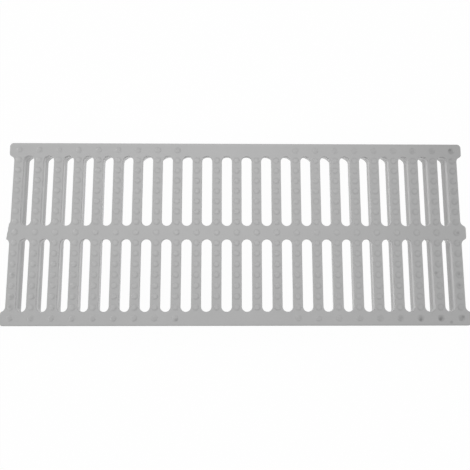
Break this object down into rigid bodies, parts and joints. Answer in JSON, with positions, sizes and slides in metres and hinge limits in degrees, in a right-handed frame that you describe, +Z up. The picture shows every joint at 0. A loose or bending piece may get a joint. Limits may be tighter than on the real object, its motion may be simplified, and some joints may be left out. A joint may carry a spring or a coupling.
{
  "type": "channel drain grate",
  "caption": "Flat slotted grate that drops into a drain channel: rails and cross bars with round-ended slots between them and low grip studs on top, moulded as one piece",
  "frame": {"origin": "middle of the underside, on the plane that the grate rests on", "axes": "+X along the channel, +Y across it, +Z up out of the walked face"},
  "size_m": [0.5, 0.199, 0.025],
  "materials": {
    "grate_polymer": "light grey filled polymer, as moulded, faintly mottled"
  },
  "bodies": {
    "root": {"grate": "grate_polymer"}
  },
  "joints": []
}
